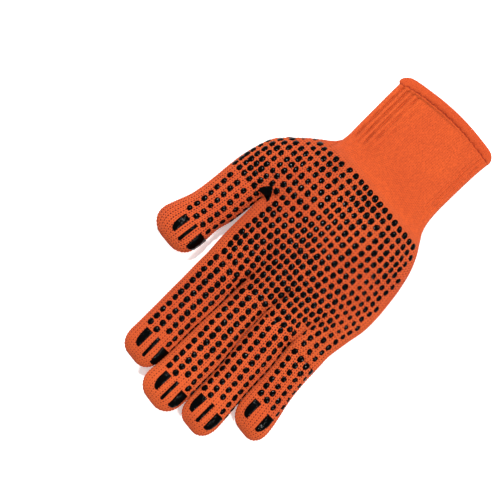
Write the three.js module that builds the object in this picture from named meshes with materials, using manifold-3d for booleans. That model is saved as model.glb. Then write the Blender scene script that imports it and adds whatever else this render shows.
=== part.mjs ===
// A knitted work glove with printed PVC grip pads, lying palm up and slightly puffed out.
// Millimetres, +Z up. The fingers point to -Y, the cuff opens to +Y and the thumb is on the -X side.
// Every tube of the glove is a loft of upright sections, each a rounded arch over a flat underside.

import * as THREE from "three";
import { mergeVertices } from "three/addons/utils/BufferGeometryUtils.js";
import Module from "manifold-3d";

const wasm = await Module();
wasm.setup();

// Driving sizes
const WALL = 2; // thickness of the knit
const JOIN_GAP = 0.3; // between knitted sections, and under each pad
const FINGER_CLEARANCE = 0.6; // between neighbouring fingers

const PALM_LENGTH = 103; // finger forks to the start of the cuff
const PALM_HEIGHT = 21.5;
const KNUCKLE_HEIGHT = 16; // where the fingers leave the palm
const THUMB_FORK = 41.5; // from the finger forks back to the thumb's fork

const THUMB = { name: "thumb", width: 27, length: 60, height: 16.5 };
const INDEX = { name: "index_finger", column: "index", width: 27, length: 77, height: 15.5 };
const MIDDLE = { name: "middle_finger", column: "middle", width: 26, length: 84, height: 16 };
const RING = { name: "ring_finger", column: "ring", width: 24, length: 76, height: 15.5 };
const LITTLE = { name: "little_finger", column: "little", width: 23, length: 53.5, height: 14.8 };
const FINGERS = [INDEX, MIDDLE, RING, LITTLE];
const TIP_ROUND = 13; // length over which a fingertip closes

const CUFF_LENGTH = 57.5;
const CUFF_WIDTH = 71;
const CUFF_HEIGHT = 12;
const WRIST_OFFSET = -13; // middle of the wrist, from the middle of the palm
const CUFF_DRIFT = -6.5; // how far the cuff leans towards the thumb at its mouth
const MOUTH_DROP = 9; // how much shorter the cuff is on the thumb's side
const HEM_LENGTH = 5.8;
const HEM_CORNER = 3.2; // how much the hem's two corners are rounded off
const HEM_PROUD = 1.1; // how far the rolled hem stands out of the cuff
const PLEAT_DEPTH = 1.1;

const PAD_THICKNESS = 0.9;
const PAD_LENGTH = 11.8;
const PAD_WIDTH = 4.9;
const PAD_SPACING = 7.2; // middle of the thin bar to the middle of an outer pad
const BAR_WIDTH = 2.2;
const BAR_LENGTH = 14;
const PAD_TIP_MARGIN = 6.2; // bare knit between a pad and the fingertip
const FORK_PAD_SIZE = 8.6;

// Shape of a section
const FRONT_POWER = 2.4; // 2 is an ellipse, more is squarer
const BACK_POWER = 3.2;
const BELLY = 0.42; // height of the widest line, as a share of the section's height
const UNDERSIDE_FLAT = 1.2; // over 1, the underside is cut flat where it rests
const EDGE_CROWDING = 0.7; // 0 spaces the columns evenly, 1 crowds them at both edges

// Columns of facets across a section's front, and across its back
const PALM_COLUMNS = { front: 30, back: 14 };
const CUFF_COLUMNS = { front: 30, back: 14 };
const FINGER_COLUMNS = { front: 12, back: 7 };

// How the fingers stand: a row for each distance from their forks, as a share of the middle finger.
// drift is how far the index finger's outer edge has moved inwards, as a share of its width, and
// the other columns are each finger's swelling, as a share of its width.
const FAN = [
  { at: 0, drift: 0, index: 1.04, middle: 0.84, ring: 0.98, little: 0.93 },
  { at: 0.22, drift: 0.09, index: 1.02, middle: 0.88, ring: 1.02, little: 0.92 },
  { at: 0.45, drift: 0.18, index: 0.98, middle: 1.0, ring: 0.95, little: 1.06 },
  { at: 0.68, drift: 0.27, index: 0.96, middle: 1.03, ring: 1.0, little: 1.06 },
  { at: 0.8, drift: 0.3, index: 0.95, middle: 1.06, ring: 1, little: 1.02 },
  { at: 1, drift: 0.32, index: 0.95, middle: 1.05, ring: 1.02, little: 1.02 },
];

// A finger's height from its fork to its tip, as shares of its length and its height.
const FINGER_RISE = [
  { at: 0, high: 1 },
  { at: 0.3, high: 0.97 },
  { at: 0.7, high: 1 },
  { at: 1, high: 0.96 },
];

// The thumb from its fork to its tip: at is a share of its length, drift and wide of its width.
const THUMB_SHAPE = [
  { at: 0, drift: 0, wide: 1, high: 1.05 },
  { at: 0.36, drift: 0, wide: 0.99, high: 0.96 },
  { at: 0.52, drift: -0.03, wide: 0.97, high: 0.93 },
  { at: 0.68, drift: -0.12, wide: 1.08, high: 0.95 },
  { at: 0.8, drift: -0.17, wide: 1.14, high: 0.97 },
  { at: 1, drift: -0.16, wide: 1.14, high: 0.95 },
];

// The palm from the finger forks to the cuff: at is a share of its length. puff moves the thumb's
// side out by a share of the palm's width, narrow moves the other side in from the little finger's
// edge (0) to the wrist's (1), and rise lifts the top from its ends' height (0) to full height (1).
const PALM_SHAPE = [
  { at: 0, puff: 0, narrow: 0, rise: 0 },
  { at: 0.06, puff: 0.01, narrow: 0.04, rise: 0.18 },
  { at: 0.13, puff: 0.019, narrow: 0.08, rise: 0.38 },
  { at: 0.25, puff: 0.028, narrow: 0.06, rise: 0.7 },
  { at: 0.38, puff: 0.039, narrow: 0.02, rise: 0.93 },
  { at: 0.5, puff: 0.036, narrow: 0.075, rise: 1 },
  { at: 0.6, puff: 0.027, narrow: 0.17, rise: 1 },
  { at: 0.69, puff: 0.019, narrow: 0.27, rise: 0.92 },
  { at: 0.78, puff: 0.016, narrow: 0.4, rise: 0.74 },
  { at: 0.84, puff: 0.014, narrow: 0.52, rise: 0.54 },
  { at: 0.9, puff: 0.009, narrow: 0.67, rise: 0.34 },
  { at: 0.95, puff: 0.002, narrow: 0.83, rise: 0.15 },
  { at: 1, puff: 0, narrow: 1, rise: 0 },
];

// Valleys that run from the finger forks into the palm: how deep, as a share of the height there,
// and how far, as a share of the palm's length.
const VALLEYS = [
  { between: "index and middle", deep: 0.42, reach: 0.3 },
  { between: "middle and ring", deep: 0.42, reach: 0.26 },
  { between: "ring and little", deep: 0.46, reach: 0.36 },
];

// The root of the thumb, from the thumb's fork to the cuff: at is a share of that length. reach is
// how far it stands out of the palm, as a share of the thumb's width, and sunk how far it runs into
// the palm, as a share of the palm's width.
const ROOT_SHAPE = [
  { at: 0, reach: 1, sunk: 0 },
  { at: 0.07, reach: 1, sunk: 0.07 },
  { at: 0.16, reach: 0.995, sunk: 0.2 },
  { at: 0.31, reach: 0.965, sunk: 0.42 },
  { at: 0.47, reach: 0.88, sunk: 0.5 },
  { at: 0.55, reach: 0.77, sunk: 0.5 },
  { at: 0.66, reach: 0.57, sunk: 0.5 },
  { at: 0.74, reach: 0.42, sunk: 0.5 },
  { at: 0.83, reach: 0.25, sunk: 0.5 },
  { at: 0.92, reach: 0.09, sunk: 0.5 },
  { at: 0.985, reach: 0.01, sunk: 0.5 },
];

// The cuff from the wrist to its mouth, as shares of its length, width and height.
const CUFF_SHAPE = [
  { at: 0, wide: 1.045, drift: 0, high: 1.07 },
  { at: 0.1, wide: 1.01, drift: 0.2, high: 1.03 },
  { at: 0.25, wide: 0.995, drift: 0.42, high: 1 },
  { at: 0.55, wide: 0.995, drift: 0.7, high: 0.97 },
  { at: 0.85, wide: 1, drift: 0.93, high: 0.95 },
  { at: 1, wide: 1.01, drift: 1, high: 0.95 },
];

// Grooves between the soft pleats on the thumb's side of the cuff: side is the groove's place as a
// share of the width, and deep a share of the pleat depth. A crest stands between two grooves.
const PLEATS = [
  { side: 0.06, deep: 1 },
  { side: 0.085, deep: 0 },
  { side: 0.115, deep: 0.9 },
  { side: 0.145, deep: 0 },
  { side: 0.18, deep: 0.75 },
  { side: 0.215, deep: 0 },
  { side: 0.25, deep: 0.45 },
];

// The pads of a fingertip: side is -1, 0 or 1 from the thin bar, and skew how far the print has
// slipped off the finger's middle, as a share of the finger's width.
const PADS = [
  { of: THUMB, skew: 0.16, sides: [-1, 0, 1], slant: 0 },
  { of: INDEX, skew: 0.08, sides: [-1, 0, 1], slant: 0.13 },
  { of: MIDDLE, skew: 0.06, sides: [-1, 0, 1], slant: 0.1 },
  { of: RING, skew: 0.01, sides: [-1, 0, 1], slant: 0.1 },
  { of: LITTLE, skew: 0.05, sides: [-0.8, 0.8], slant: 0.12 },
];

const knit = new THREE.MeshStandardMaterial({ color: 0xe0562a, roughness: 0.95, metalness: 0 });
const cuffKnit = new THREE.MeshStandardMaterial({ color: 0xd94f24, roughness: 0.95, metalness: 0 });
const pvc = new THREE.MeshStandardMaterial({ color: 0x0c0c0d, roughness: 0.28, metalness: 0 });

// Value of one column of a table at a place between its rows, on a smooth curve.
function read(table, at, column) {
  const last = table.length - 1;
  const row = Math.min(Math.max(table.findIndex((r) => r.at > at) - 1, -1), last - 1);
  const i = at >= table[last].at ? last - 1 : Math.max(row, 0);
  const value = (k) => table[Math.min(Math.max(k, 0), last)][column];
  const place = (k) => table[Math.min(Math.max(k, 0), last)].at;
  const span = place(i + 1) - place(i);
  const t = THREE.MathUtils.clamp((at - place(i)) / span, 0, 1);
  const slope = (k) => (value(k + 1) - value(k - 1)) / (place(k + 1) - place(k - 1) || 1);
  const rise = [slope(i) * span, slope(i + 1) * span];
  return (
    value(i) * (1 + 2 * t) * (1 - t) ** 2 +
    rise[0] * t * (1 - t) ** 2 +
    value(i + 1) * t ** 2 * (3 - 2 * t) +
    rise[1] * t ** 2 * (t - 1)
  );
}

// Shares across a section from its left edge to its right one, with a column on each stop.
function spread(count, stops = []) {
  const shares = Array.from({ length: count + 1 }, (_, i) => {
    const even = i / count;
    return THREE.MathUtils.lerp(even, (1 - Math.cos(Math.PI * even)) / 2, EDGE_CROWDING);
  });
  const taken = new Set([0, count]);
  for (const stop of stops) {
    const free = shares.map((s, i) => (taken.has(i) ? Infinity : Math.abs(s - stop)));
    const nearest = free.indexOf(Math.min(...free));
    shares[nearest] = stop;
    taken.add(nearest);
  }
  return shares.sort((a, b) => a - b);
}

const arch = (share, power) => Math.max(0, 1 - Math.abs(2 * share - 1) ** power) ** (1 / power);

// One closed section: over the front from left to right, then back under it. s holds left, right,
// floor, top and y. grow makes it larger all round, or smaller for the hollow. lower(share) is the
// share of the height that is taken off the front there, and lean(share) moves a point along Y.
// Stops and shares run from 0 at s.left to 1 at s.right, whatever grow is.
function section(s, { columns, stops = [], grow = 0, lower = () => 0, lean = () => 0 }) {
  const [left, right] = [s.left - grow, s.right + grow];
  const [floor, top] = [s.floor - grow, s.top + grow];
  const belly = THREE.MathUtils.lerp(floor, top, BELLY);
  const share = (x) => THREE.MathUtils.clamp((x - s.left) / (s.right - s.left), 0, 1);
  const point = (x, z) => new THREE.Vector3(x, s.y + lean(share(x)), z);
  const across = (t) => THREE.MathUtils.lerp(left, right, t);
  const own = stops.map((t) => (THREE.MathUtils.lerp(s.left, s.right, t) - left) / (right - left));
  const front = spread(columns.front, own).map((t) => {
    const z = belly + (top - belly) * arch(t, FRONT_POWER);
    return point(across(t), z - (s.top - s.floor) * lower(share(across(t))));
  });
  const back = spread(columns.back).slice(1, -1).reverse().map((t) => {
    const drop = Math.min(1, UNDERSIDE_FLAT * arch(t, BACK_POWER));
    return point(across(t), belly + (floor - belly) * drop);
  });
  return [...front, ...back];
}

// Triangles over the open end of a ring, from its front across to its back.
function cap(ring, first) {
  const right = ring.reduce((best, p, i) => (p.x > ring[best].x ? i : best), 0);
  const all = ring.map((_, i) => i);
  const front = all.slice(0, right + 1);
  const back = [0, ...all.slice(right).reverse()];
  const index = [];
  let [i, j] = [0, 0];
  while (i + 1 < front.length || j + 1 < back.length) {
    const [a, b] = [front[i + 1], back[j + 1]];
    const onFront = b === undefined || (a !== undefined && ring[a].x <= ring[b].x);
    const corners = onFront ? [front[i++], a, back[j]] : [front[i], b, back[j++]];
    if (new Set(corners).size === 3) index.push(...corners.map((c) => c + first));
  }
  return index;
}

// A closed mesh through rings that have as many points each.
function loft(rings) {
  const run = rings.at(-1)[0].y > rings[0][0].y ? rings : [...rings].reverse();
  const count = run[0].length;
  const last = (run.length - 1) * count;
  const index = [...cap(run[0], 0).reverse(), ...cap(run.at(-1), last)];
  for (let i = 0; i < count; i++) {
    const j = (i + 1) % count;
    for (let r = 0; r + 1 < run.length; r++) {
      const [a, b] = [r * count, (r + 1) * count];
      index.push(a + i, a + j, b + i, a + j, b + j, b + i);
    }
  }
  return new THREE.BufferGeometry().setFromPoints(run.flat()).setIndex(index);
}

// A closed geometry as a solid that can be cut and joined.
function solid(geometry) {
  const bare = geometry.clone().deleteAttribute("normal").deleteAttribute("uv");
  const merged = mergeVertices(bare, 1e-4);
  const made = new wasm.Mesh({
    numProp: 3,
    vertProperties: merged.attributes.position.array,
    triVerts: new Uint32Array(merged.index.array),
  });
  return new wasm.Manifold(made);
}

function named(name, shape, material) {
  const made = shape.getMesh();
  const geometry = new THREE.BufferGeometry();
  geometry.setAttribute("position", new THREE.BufferAttribute(made.vertProperties, 3));
  geometry.setIndex(new THREE.BufferAttribute(made.triVerts, 1));
  geometry.computeVertexNormals();
  const mesh = new THREE.Mesh(geometry, material);
  mesh.name = name;
  return mesh;
}

// The fingers' edges, counted across from the index finger at one distance from the forks.
function fingerEdges(finger, distance) {
  const at = distance / MIDDLE.length;
  const wide = (f) => f.width * read(FAN, at, f.column);
  const palm = FINGERS.reduce((sum, f) => sum + f.width * FAN[0][f.column], 0);
  const before = FINGERS.slice(0, FINGERS.indexOf(finger));
  const left = before.reduce((x, f) => x + wide(f), INDEX.width * read(FAN, at, "drift") - palm / 2);
  return { left, right: left + wide(finger) };
}

const PALM_LEFT = fingerEdges(INDEX, 0).left;
const PALM_RIGHT = fingerEdges(LITTLE, 0).right;
const PALM_WIDTH = PALM_RIGHT - PALM_LEFT;

// The cuff's box at a share of its length. Its start is the wrist, where the palm ends.
function cuffPlace(at) {
  const half = (CUFF_WIDTH * read(CUFF_SHAPE, at, "wide")) / 2;
  const middle = WRIST_OFFSET + CUFF_DRIFT * read(CUFF_SHAPE, at, "drift");
  const top = CUFF_HEIGHT * read(CUFF_SHAPE, at, "high");
  return { left: middle - half, right: middle + half, floor: 0, top };
}

const WRIST = cuffPlace(0);

// The four-finger part of the palm, at a share of its length.
function palmPlace(at) {
  const puff = PALM_WIDTH * read(PALM_SHAPE, at, "puff");
  const left = THREE.MathUtils.lerp(PALM_LEFT, WRIST.left, at) - puff;
  const right = THREE.MathUtils.lerp(PALM_RIGHT, WRIST.right, read(PALM_SHAPE, at, "narrow"));
  const ends = THREE.MathUtils.lerp(KNUCKLE_HEIGHT, WRIST.top, at);
  const top = THREE.MathUtils.lerp(ends, PALM_HEIGHT, read(PALM_SHAPE, at, "rise"));
  return { left, right, floor: 0, top, y: at * PALM_LENGTH };
}

const FORKS = FINGERS.slice(0, -1).map((f) => (fingerEdges(f, 0).right - PALM_LEFT) / PALM_WIDTH);

// How much of the height is taken off the palm's front near the fingers, so that it ends in four
// lobes with a valley at each fork.
function valleys(at) {
  const edges = [0, ...FORKS, 1];
  return (share) => {
    const lobe = Math.max(0, edges.findLastIndex((e) => e <= share));
    const finger = Math.min(lobe, FINGERS.length - 1);
    const across = (share - edges[finger]) / (edges[finger + 1] - edges[finger]);
    const valley = VALLEYS[across < 0.5 ? finger - 1 : finger];
    if (!valley) return 0;
    const fade = 1 - THREE.MathUtils.smoothstep(at / valley.reach, 0, 1);
    return valley.deep * fade * Math.abs(2 * across - 1) ** 3;
  };
}

function palmLoft(grow, ends) {
  const form = { columns: PALM_COLUMNS, stops: FORKS, grow };
  const rings = PALM_SHAPE.map(({ at }) => section(palmPlace(at), { ...form, lower: valleys(at) }));
  return solid(loft(grow < 0 ? lengthen(rings, ends) : rings));
}

// Moves copies of the end rings out by the given lengths, so that a hollow cuts right through.
function lengthen(rings, { low = 0, high = 0 }) {
  const moved = (ring, by) => ring.map((p) => p.clone().setY(p.y + by));
  const run = [...rings];
  if (low) run.unshift(moved(rings[0], -low));
  if (high) run.push(moved(rings.at(-1), high));
  return run;
}

// The thumb's box at a share of its length, out of the side of the palm.
const THUMB_RIGHT = palmPlace(THUMB_FORK / PALM_LENGTH).left - FINGER_CLEARANCE;

function thumbPlace(at) {
  const left = THUMB_RIGHT - THUMB.width + THUMB.width * read(THUMB_SHAPE, at, "drift");
  const right = left + THUMB.width * read(THUMB_SHAPE, at, "wide");
  const top = THUMB.height * read(THUMB_SHAPE, at, "high");
  const y = THUMB_FORK - JOIN_GAP - at * THUMB.length;
  return { left, right: Math.min(right, THUMB_RIGHT), floor: 0, top, y };
}

// The root of the thumb, which fills the glove's outline between the thumb and the wrist.
function rootLoft(grow, ends) {
  const start = THUMB_FORK / PALM_LENGTH;
  const fork = thumbPlace(0);
  const out = palmPlace(start).left - fork.left;
  const merged = Math.max(...ROOT_SHAPE.map((row) => row.sunk));
  const rings = ROOT_SHAPE.map(({ at, reach, sunk }) => {
    const s = palmPlace(THREE.MathUtils.lerp(start, 1, at));
    const top = THREE.MathUtils.lerp(fork.top, s.top, sunk / merged);
    const edges = { left: s.left - reach * out, right: s.left + sunk * PALM_WIDTH };
    return section({ ...s, ...edges, top }, { columns: FINGER_COLUMNS, grow });
  });
  return solid(loft(grow < 0 ? lengthen(rings, ends) : rings));
}

// Shares of the length at which a finger has a section: a few along it and more round its tip.
function stations(length, round) {
  const straight = [0, 0.12, 0.3, 0.5, 0.7, 0.88].map((t) => (t * (length - round)) / length);
  const closing = [0, 0.3, 0.55, 0.75, 0.9, 0.97, 0.995].map((t) => 1 - ((1 - t) * round) / length);
  return [...straight, ...closing];
}

// One finger or the thumb, closed at its tip. place(at) gives its box, grow makes it larger.
function fingerLoft(finger, place, grow, base = 0) {
  const round = TIP_ROUND + grow;
  const length = finger.length + grow;
  const rings = stations(length, round).map((at) => {
    const into = Math.max(0, (at * length - (length - round)) / round);
    const wide = (1 - into ** 2.5) ** (1 / 2.5);
    const high = (1 - into ** 2.2) ** (1 / 2.2);
    const box = place((at * length) / finger.length);
    const middle = (box.left + box.right) / 2;
    const half = ((box.right - box.left) / 2 + grow) * wide;
    const tall = (box.top - box.floor + 2 * grow) * high;
    const low = box.floor - grow + (box.top - box.floor + 2 * grow - tall) * BELLY;
    const s = { ...box, left: middle - half, right: middle + half, floor: low, top: low + tall };
    return section(s, { columns: FINGER_COLUMNS });
  });
  if (base) rings.unshift(rings[0].map((p) => p.clone().setY(p.y + base)));
  return solid(loft(rings));
}

function fingerPlace(finger) {
  return (at) => {
    const distance = at * finger.length;
    const { left, right } = fingerEdges(finger, distance);
    const root = THREE.MathUtils.lerp(KNUCKLE_HEIGHT, finger.height, Math.min(1, at / 0.3));
    const top = root * read(FINGER_RISE, Math.min(1, at), "high");
    const inset = FINGER_CLEARANCE / 2;
    return { left: left + inset, right: right - inset, floor: 0, top, y: -JOIN_GAP - distance };
  };
}

const placeOf = (finger) => (finger === THUMB ? thumbPlace : fingerPlace(finger));

function tube(finger) {
  const place = placeOf(finger);
  const hollow = fingerLoft(finger, place, -WALL, WALL);
  return named(finger.name, fingerLoft(finger, place, 0).subtract(hollow), knit);
}

function palm() {
  const outside = palmLoft(0).add(rootLoft(0));
  const inside = palmLoft(-WALL, { low: WALL, high: WALL }).add(rootLoft(-WALL, { low: WALL }));
  return named("palm", outside.subtract(inside), knit);
}

// The cuff's mouth is cut lower on the thumb's side, in a curve. share runs from that side.
const mouthDrop = (share) => -MOUTH_DROP * Math.max(0, 1 - share / 0.75) ** 2;
const corner = (share) => -HEM_CORNER * Math.abs(2 * share - 1) ** 12;

// How much of the cuff's height a pleat's groove takes off, at one of the columns it stands on.
function pleat(share) {
  const found = PLEATS.find((p) => Math.abs(p.side - share) < 1e-6);
  return found ? (found.deep * PLEAT_DEPTH) / CUFF_HEIGHT : 0;
}

const CUFF_FORM = { columns: CUFF_COLUMNS, stops: PLEATS.map((p) => p.side) };

function cuffRing(at, grow) {
  const y = PALM_LENGTH + JOIN_GAP + at * CUFF_LENGTH;
  const fade = Math.min(1, at / 0.25);
  const lower = (share) => (grow < 0 ? 0 : pleat(share) * fade);
  const lean = (share) => mouthDrop(share) * at;
  return section({ ...cuffPlace(at), y }, { ...CUFF_FORM, grow, lower, lean });
}

function cuff() {
  const rings = (grow) => CUFF_SHAPE.map(({ at }) => cuffRing(at, grow));
  const inside = lengthen(rings(-WALL), { low: WALL, high: WALL });
  return named("cuff", solid(loft(rings(0))).subtract(solid(loft(inside))), cuffKnit);
}

// The overlocked hem round the cuff's mouth, with a rolled outer face.
const HEM_ROLL = [
  { at: 0, out: 0.35 },
  { at: 0.2, out: 0.9 },
  { at: 0.55, out: 1 },
  { at: 0.85, out: 0.7 },
  { at: 1, out: 0 },
];

function hemRing(at, grow) {
  const y = PALM_LENGTH + CUFF_LENGTH + 2 * JOIN_GAP + at * HEM_LENGTH;
  const lean = (share) => mouthDrop(share) + corner(share) * at;
  return section({ ...cuffPlace(1), floor: Math.max(0, grow), y }, { ...CUFF_FORM, grow, lean });
}

function hem() {
  const outside = HEM_ROLL.map(({ at, out }) => hemRing(at, out * HEM_PROUD));
  const inside = lengthen([hemRing(0, -WALL), hemRing(1, -WALL)], { low: WALL, high: WALL });
  return named("cuff_hem", solid(loft(outside)).subtract(solid(loft(inside))), cuffKnit);
}

// Outline of an outer pad, across and along the finger: straight on the bar's side, rounded off
// towards the tip on the other.
function outerPad(side) {
  const w = (side * PAD_WIDTH) / 2;
  const shape = new THREE.Shape();
  shape.moveTo(-w, 0);
  shape.lineTo(w, 0);
  shape.lineTo(w * 1.05, -PAD_LENGTH * 0.45);
  shape.quadraticCurveTo(w * 0.9, -PAD_LENGTH * 0.9, -w * 0.35, -PAD_LENGTH);
  shape.lineTo(-w * 0.85, -PAD_LENGTH * 0.96);
  shape.closePath();
  return shape;
}

function bar() {
  const w = BAR_WIDTH / 2;
  const shape = new THREE.Shape();
  shape.moveTo(-w, 0);
  shape.lineTo(w, 0);
  shape.lineTo(w, -BAR_LENGTH + w);
  shape.absarc(0, -BAR_LENGTH + w, w, 0, -Math.PI, true);
  shape.closePath();
  return shape;
}

// A three-cornered pad with hollow sides, printed over the thumb's fork.
function forkPad() {
  const shape = new THREE.Shape();
  const centre = new THREE.Vector2();
  const tip = (turn) => new THREE.Vector2(0, FORK_PAD_SIZE * 0.58).rotateAround(centre, turn);
  const [a, b, c] = [0, 1, 2].map((k) => tip((k * 2 * Math.PI) / 3));
  shape.moveTo(a.x, a.y);
  shape.quadraticCurveTo(b.x * 0.25 + a.x * 0.25, b.y * 0.25 + a.y * 0.25, b.x, b.y);
  shape.quadraticCurveTo(0, -FORK_PAD_SIZE * 0.1, c.x, c.y);
  shape.quadraticCurveTo(c.x * 0.25 + a.x * 0.25, c.y * 0.25 + a.y * 0.25, a.x, a.y);
  return shape;
}

// A printed pad: the layer between two copies of the knit's surface, inside an upright prism.
function printed(name, shape, { x, y, slant = 0 }, raised) {
  const cut = { depth: PALM_HEIGHT, bevelEnabled: false, curveSegments: 5 };
  const prism = new THREE.ExtrudeGeometry(shape, cut);
  prism.rotateZ(slant).translate(x, y, PALM_HEIGHT * BELLY * 0.75);
  const layer = raised(JOIN_GAP + PAD_THICKNESS).subtract(raised(JOIN_GAP));
  return named(name, solid(prism).intersect(layer), pvc);
}

function tipPads({ of: finger, skew, sides, slant }) {
  const place = placeOf(finger);
  const start = finger.length - PAD_TIP_MARGIN - (BAR_LENGTH + PAD_LENGTH) / 2;
  const box = place(start / finger.length);
  const middle = THREE.MathUtils.lerp(box.left, box.right, 0.5 + skew);
  const raised = (grow) => fingerLoft(finger, place, grow);
  return sides.map((side, i) => {
    const back = side ? 0 : (BAR_LENGTH - PAD_LENGTH) / 2;
    const spot = { x: middle + side * PAD_SPACING, y: box.y + back, slant };
    const shape = side ? outerPad(Math.sign(side)) : bar();
    return printed(`${finger.name}_pad_${i + 1}`, shape, spot, raised);
  });
}

function thumbForkPad() {
  const raised = (grow) => palmLoft(grow).add(rootLoft(grow));
  const spot = { x: THUMB_RIGHT + FINGER_CLEARANCE / 2, y: THUMB_FORK + FORK_PAD_SIZE * 0.62 };
  return printed("thumb_fork_pad", forkPad(), spot, raised);
}

const glove = new THREE.Group();
glove.add(palm(), tube(THUMB), ...FINGERS.map(tube), cuff(), hem());
glove.add(...PADS.flatMap(tipPads), thumbForkPad());

// The origin is under the middle of the glove, on the surface that it lies on.
const box = new THREE.Box3().setFromObject(glove);
const middle = box.getCenter(new THREE.Vector3());
glove.position.set(-middle.x, -middle.y, -box.min.z);

export default glove;
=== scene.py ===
"""Looks of the PVC dotted knit glove: one glove of seamless knit, lying palm side up.

Lengths in the tables and the shape functions are millimetres, in the glove's own frame: y is 0 at
the finger forks and grows towards the cuff. Points become metres when a mesh is made.
"""

import math
from collections import namedtuple

import bpy
import numpy as np
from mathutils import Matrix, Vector


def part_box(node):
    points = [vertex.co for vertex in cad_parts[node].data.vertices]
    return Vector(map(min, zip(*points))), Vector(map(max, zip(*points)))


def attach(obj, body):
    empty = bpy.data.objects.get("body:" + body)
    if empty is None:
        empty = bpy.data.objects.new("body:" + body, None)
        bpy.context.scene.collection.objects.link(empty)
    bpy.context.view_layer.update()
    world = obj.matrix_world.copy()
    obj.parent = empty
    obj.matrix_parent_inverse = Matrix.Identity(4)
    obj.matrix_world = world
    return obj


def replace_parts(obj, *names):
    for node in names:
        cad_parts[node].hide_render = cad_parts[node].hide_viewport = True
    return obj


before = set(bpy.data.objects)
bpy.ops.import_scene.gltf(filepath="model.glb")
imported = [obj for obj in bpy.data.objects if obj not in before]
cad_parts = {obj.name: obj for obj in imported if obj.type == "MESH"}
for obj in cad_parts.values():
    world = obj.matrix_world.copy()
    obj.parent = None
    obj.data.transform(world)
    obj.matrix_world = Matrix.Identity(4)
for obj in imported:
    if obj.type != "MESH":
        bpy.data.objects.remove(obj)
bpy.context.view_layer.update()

MM = 0.001
RNG = np.random.default_rng(11)
Finger = namedtuple("Finger", "name width length height wales offset lift pitch skew aside slant")
Place = namedtuple("Place", "left right top floor belly")

# Sizes of the solids
WALL = 2.0
PALM_LENGTH = 103.0
PALM_HEIGHT = 21.5
KNUCKLE_HEIGHT = 16.0
THUMB_FORK = 41.5
CLEARANCE = 0.6
TIP_ROUND = 13.0
# A digit's solid, its columns of stitches, its dots (arc length of the columns past its middle, rows
# moved, space across) and its pads (place beside its middle as a share of its width and in mm, turn)
THUMB = Finger("thumb", 27.0, 60.0, 16.5, 14, 7.4, -1.8, 6.2, 0.16, 1.2, 0.0)
FINGERS = [
    Finger("index", 27.0, 77.0, 15.5, 14, 4.4, -0.5, 5.95, 0.08, 1.2, 0.13),
    Finger("middle", 26.0, 84.0, 16.0, 13, 4.0, 0.2, 5.8, 0.06, 1.2, 0.1),
    Finger("ring", 24.0, 76.0, 15.5, 12, 2.4, 2.5, 6.0, 0.01, 0.9, 0.1),
    Finger("little", 23.0, 53.5, 14.8, 12, 2.7, -1.2, 5.7, 0.05, 0.9, 0.12),
]
MIDDLE_LENGTH = FINGERS[1].length
CUFF_LENGTH = 57.5
CUFF_WIDTH = 71.0
CUFF_HEIGHT = 12.0
WRIST_OFFSET = -13.0
CUFF_DRIFT = -6.5
MOUTH_DROP = 9.0
LINING_END = 62.0
HEM_LENGTH = 5.8
HEM_CORNER = 3.2
JOIN_GAP = 0.3
FRONT_POWER = 2.4
BACK_POWER = 3.2
BELLY = 0.42
UNDERSIDE_FLAT = 1.2
FINGER_BELLY = 0.56  # the cloth of two fingers meets a little higher than their solids
ROOT_FADE = 15.0  # length over which the thumb's root sinks into the hand

# Tables of the solids: values at steps that are shares of the length
FINGER_STEPS = (0, 0.22, 0.45, 0.68, 0.8, 1)
DRIFT = (0, 0.09, 0.18, 0.27, 0.3, 0.32)
SWELL = {
    "index": (1.04, 1.02, 0.98, 0.96, 0.95, 0.95),
    "middle": (0.84, 0.88, 1.0, 1.03, 1.06, 1.05),
    "ring": (0.98, 1.02, 0.95, 1.0, 1.0, 1.02),
    "little": (0.93, 0.92, 1.06, 1.06, 1.02, 1.02),
}
RISE_STEPS = (0, 0.3, 0.7, 1)
FINGER_RISE = (1, 0.97, 1, 0.96)
THUMB_STEPS = (0, 0.36, 0.52, 0.68, 0.8, 1)
THUMB_DRIFT = (0, 0, -0.03, -0.12, -0.17, -0.16)
THUMB_WIDE = (1, 0.99, 0.97, 1.08, 1.14, 1.14)
THUMB_HIGH = (1.05, 0.96, 0.93, 0.95, 0.97, 0.95)
PALM_STEPS = (0, 0.06, 0.13, 0.25, 0.38, 0.5, 0.6, 0.69, 0.78, 0.84, 0.9, 0.95, 1)
PALM_PUFF = (0, 0.01, 0.019, 0.028, 0.039, 0.036, 0.027, 0.019, 0.016, 0.014, 0.009, 0.002, 0)
PALM_NARROW = (0, 0.04, 0.08, 0.06, 0.02, 0.075, 0.17, 0.27, 0.4, 0.52, 0.67, 0.83, 1)
PALM_RISE = (0, 0.18, 0.38, 0.7, 0.93, 1, 1, 0.92, 0.74, 0.54, 0.34, 0.15, 0)
ROOT_STEPS = (0, 0.07, 0.16, 0.31, 0.47, 0.55, 0.66, 0.74, 0.83, 0.92, 1)
ROOT_REACH = (1, 1, 0.995, 0.965, 0.88, 0.77, 0.57, 0.42, 0.25, 0.09, 0)
ROOT_SUNK = (0, 0.07, 0.2, 0.42, 0.5, 0.5, 0.5, 0.5, 0.5, 0.5, 0.5)
CUFF_STEPS = (0, 0.1, 0.25, 0.55, 0.85, 1)
CUFF_WIDE = (1.045, 1.01, 0.995, 0.995, 1, 1.01)
CUFF_LEAN = (0, 0.2, 0.42, 0.7, 0.93, 1)
CUFF_HIGH = (1.07, 1.03, 1, 0.97, 0.95, 0.95)

# The knit
COURSE = 1.75  # length of one stitch
CUFF_COURSE = 1.15
EASE_FROM = 86.0  # from here on the stitches grow flatter
FINE_FROM = 98.6  # past the print the knit turns fine
COLUMNS = 4  # mesh columns for each column of stitches
STEP = 0.44  # mesh rows along the glove
PALM_WALES = sum(f.wales for f in FINGERS)
RELIEF = 0.45
CUFF_RELIEF = 0.11

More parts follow.
